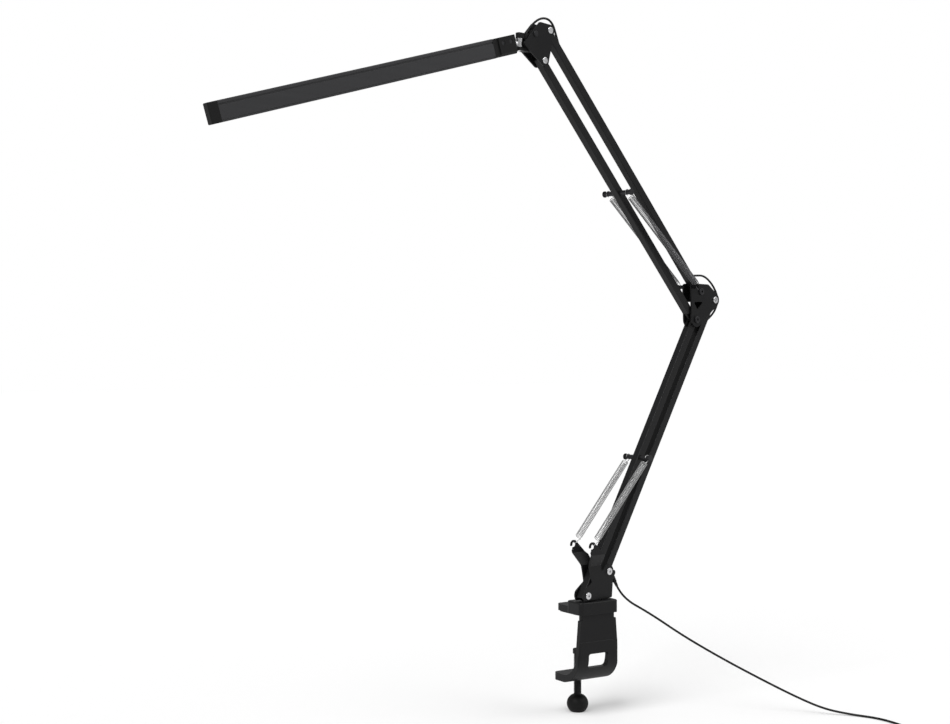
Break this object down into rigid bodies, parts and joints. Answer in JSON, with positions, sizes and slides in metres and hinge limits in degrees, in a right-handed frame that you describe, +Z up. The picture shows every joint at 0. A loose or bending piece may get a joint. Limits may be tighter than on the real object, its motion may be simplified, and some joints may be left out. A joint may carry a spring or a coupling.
{
  "type": "clamp-mounted swing-arm desk lamp",
  "caption": "Clamp-on desk lamp with two linked square-tube arm sections, side springs and a long slim light bar on a tilting, turning neck.",
  "frame": {"origin": "on the base swivel's axis, at the upper jaw's underside where it rests on the worktop", "axes": "+Z up, +Y the way the clamp's jaws point, +X across the clamp; at rest the arm leans from +X back over to -X"},
  "size_m": [0.8216, 0.462, 0.8504],
  "materials": {
    "clamp_paint": "satin black powder coat on steel",
    "bracket_paint": "satin black paint on steel plate",
    "tube_paint": "satin black paint on square steel tube",
    "black_plastic": "fine textured black plastic",
    "bright_steel": "bright zinc plated steel",
    "screw_steel": "blackened steel",
    "spring_steel": "bright drawn wire",
    "dark_spring_steel": "grey drawn wire",
    "rubber_pad": "matt black rubber",
    "cord_jacket": "semi-matt black cord jacket",
    "housing_finish": "dark grey anodised extrusion",
    "diffuser_white": "frosted white",
    "board_white": "white board"
  },
  "bodies": {
    "clamp": {"clamp_frame": "clamp_paint", "jaw_pad": "rubber_pad", "swivel_bush": "black_plastic", "screw_insert": "screw_steel"},
    "clamp_foot": {"pressure_foot": "rubber_pad"},
    "clamp_screw": {"clamp_screw": "screw_steel", "clamp_knob": "black_plastic"},
    "base_bracket": {"base_block": "black_plastic", "base_plate_near": "bracket_paint", "base_plate_far": "bracket_paint", "bolt_base_lower_front": "bright_steel", "nut_base_lower_front": "bright_steel", "bolt_base_lower_rear": "bright_steel", "nut_base_lower_rear": "bright_steel", "strain_relief": "cord_jacket", "cord_free": "cord_jacket", "cord_coil": "cord_jacket", "cord_tail": "cord_jacket", "plug_body": "cord_jacket", "plug_tongue": "bright_steel", "spring_lower_near": "spring_steel", "spring_lower_far": "spring_steel"},
    "lower_front_arm": {"tube_lower_front": "tube_paint", "cable_in_lower_tube": "cord_jacket", "cable_elbow_lower": "cord_jacket"},
    "lower_rear_arm": {"tube_lower_rear": "tube_paint", "fork_lower_rear": "black_plastic", "cross_rod_lower": "screw_steel"},
    "elbow_bracket": {"elbow_plate_near": "bracket_paint", "elbow_plate_far": "bracket_paint", "bolt_elbow_lower": "bright_steel", "nut_elbow_lower": "bright_steel", "bolt_elbow_shared": "screw_steel", "nut_elbow_shared": "screw_steel", "bolt_elbow_upper": "screw_steel", "nut_elbow_upper": "screw_steel", "cable_elbow_upper": "cord_jacket", "spring_upper_near": "dark_spring_steel", "spring_upper_far": "dark_spring_steel"},
    "upper_front_arm": {"tube_upper_front": "tube_paint", "cable_in_upper_tube": "cord_jacket", "cable_head_upper": "cord_jacket"},
    "upper_rear_arm": {"tube_upper_rear": "tube_paint", "tongue_upper_rear": "black_plastic", "cross_rod_upper": "screw_steel"},
    "head_bracket": {"head_plate_near": "bracket_paint", "head_plate_far": "bracket_paint", "rivet_head_upper": "bright_steel", "rivet_head_lower": "bright_steel", "rivet_tilt": "screw_steel", "cable_head_neck": "cord_jacket"},
    "neck": {"neck_block": "black_plastic", "neck_pin": "bright_steel"},
    "neck_knuckle": {"knuckle": "bright_steel"},
    "head": {"holder": "black_plastic", "clip_screws": "screw_steel", "head_housing": "housing_finish", "end_cap": "black_plastic", "diffuser": "diffuser_white", "led_board": "board_white"}
  },
  "joints": [
    {"name": "foot_slide", "type": "slide", "parent": "clamp", "child": "clamp_foot", "axis": [0, 0, 1], "range_m": [-0.02, 0.02]},
    {"name": "screw_turn", "type": "hinge", "parent": "clamp_foot", "child": "clamp_screw", "pos_m": [0, 0.0315, -0.1], "axis": [0, 0, 1], "range_deg": [-4800, 4800]},
    {"name": "base_swivel", "type": "hinge", "parent": "clamp", "child": "base_bracket", "pos_m": [0, 0, 0.0175], "axis": [0, 0, 1], "range_deg": [-170, 170]},
    {"name": "lower_arm", "type": "hinge", "parent": "base_bracket", "child": "lower_front_arm", "pos_m": [0.02068, 0.00365, 0.0514], "axis": [-0.1736, 0.9848, 0], "range_deg": [-80, 9]},
    {"name": "lower_arm_link", "type": "hinge", "parent": "base_bracket", "child": "lower_rear_arm", "pos_m": [-0.01674, -0.00295, 0.0249], "axis": [-0.1736, 0.9848, 0], "range_deg": [-80, 9], "deforming": ["spring_lower_near", "spring_lower_far"]},
    {"name": "elbow_level", "type": "hinge", "parent": "lower_front_arm", "child": "elbow_bracket", "pos_m": [0.22609, 0.03987, 0.39271], "axis": [-0.1736, 0.9848, 0], "range_deg": [-9, 80], "deforming": ["cable_elbow_lower"]},
    {"name": "upper_arm", "type": "hinge", "parent": "elbow_bracket", "child": "upper_front_arm", "pos_m": [0.19763, 0.03485, 0.40311], "axis": [-0.1736, 0.9848, 0], "range_deg": [-52, 38], "deforming": ["cable_elbow_upper"]},
    {"name": "upper_arm_link", "type": "hinge", "parent": "elbow_bracket", "child": "upper_rear_arm", "pos_m": [0.18867, 0.03327, 0.36621], "axis": [-0.1736, 0.9848, 0], "range_deg": [-52, 38], "deforming": ["spring_upper_near", "spring_upper_far"]},
    {"name": "head_level", "type": "hinge", "parent": "upper_front_arm", "child": "head_bracket", "pos_m": [-0.08159, -0.01439, 0.70684], "axis": [-0.1736, 0.9848, 0], "range_deg": [-38, 52], "deforming": ["cable_head_upper"]},
    {"name": "head_tilt", "type": "hinge", "parent": "head_bracket", "child": "neck", "pos_m": [-0.10587, -0.01867, 0.6995], "axis": [-0.1736, 0.9848, 0], "range_deg": [-45, 45], "deforming": ["cable_head_neck"]},
    {"name": "head_swivel", "type": "hinge", "parent": "neck", "child": "neck_knuckle", "pos_m": [-0.12556, -0.02214, 0.6868], "axis": [0, 0, 1], "range_deg": [-55, 55]},
    {"name": "head_roll", "type": "hinge", "parent": "neck_knuckle", "child": "head", "pos_m": [-0.12556, -0.02214, 0.6868], "axis": [-0.9535, -0.0908, -0.2874], "range_deg": [-170, 170]}
  ],
  "couplings": [
    {"joint": "foot_slide", "follows": "screw_turn", "m_per_rad": 0.00023873},
    {"joint": "lower_arm_link", "follows": "lower_arm", "ratio": 1},
    {"joint": "elbow_level", "follows": "lower_arm", "ratio": -1},
    {"joint": "upper_arm_link", "follows": "upper_arm", "ratio": 1},
    {"joint": "head_level", "follows": "upper_arm", "ratio": -1}
  ]
}
